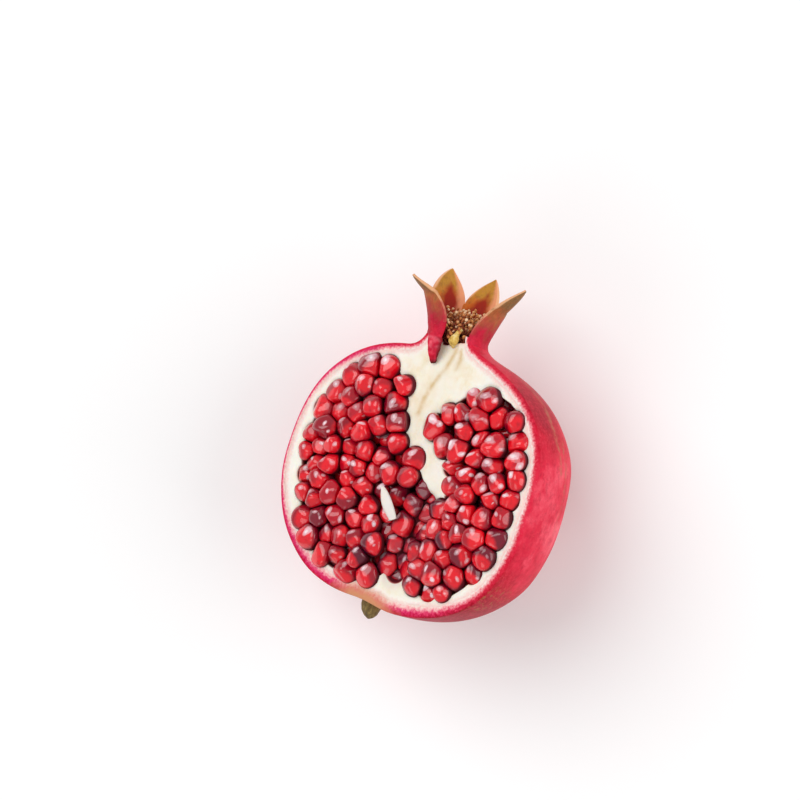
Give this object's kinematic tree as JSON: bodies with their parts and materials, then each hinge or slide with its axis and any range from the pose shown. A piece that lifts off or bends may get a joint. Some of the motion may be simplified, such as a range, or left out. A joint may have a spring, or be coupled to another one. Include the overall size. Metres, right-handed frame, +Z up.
{
  "type": "halved pomegranate",
  "caption": "Halved pomegranate lying on its rounded back: a thin leathery red rind round cream pith, seed chambers packed with garnet-red arils, a pointed crown and a woody stem stub.",
  "frame": {"origin": "middle of the small flat spot on the rounded back, on which the half lies", "axes": "+Z up; the crown points to -X and the stem stub to +X along the fruit's axis; the cut face looks up, tilted 25 degrees towards -Y"},
  "size_m": [0.1111, 0.0889, 0.0673],
  "materials": {
    "skin": "waxy, satin, crimson with pinker and yellower mottling",
    "pith": "moist matt cream flesh",
    "aril": "wet, glossy, translucent garnet red",
    "sepal": "dry leathery, red at the base to olive brown at the tips",
    "stamen": "dry matt golden brown",
    "stem": "rough matt olive brown"
  },
  "bodies": {
    "root": {"rind": "skin", "pith": "pith", "arils_left": "aril", "arils_right": "aril", "crown": "sepal", "stamens": "stamen", "stem_stub": "stem"}
  },
  "joints": []
}
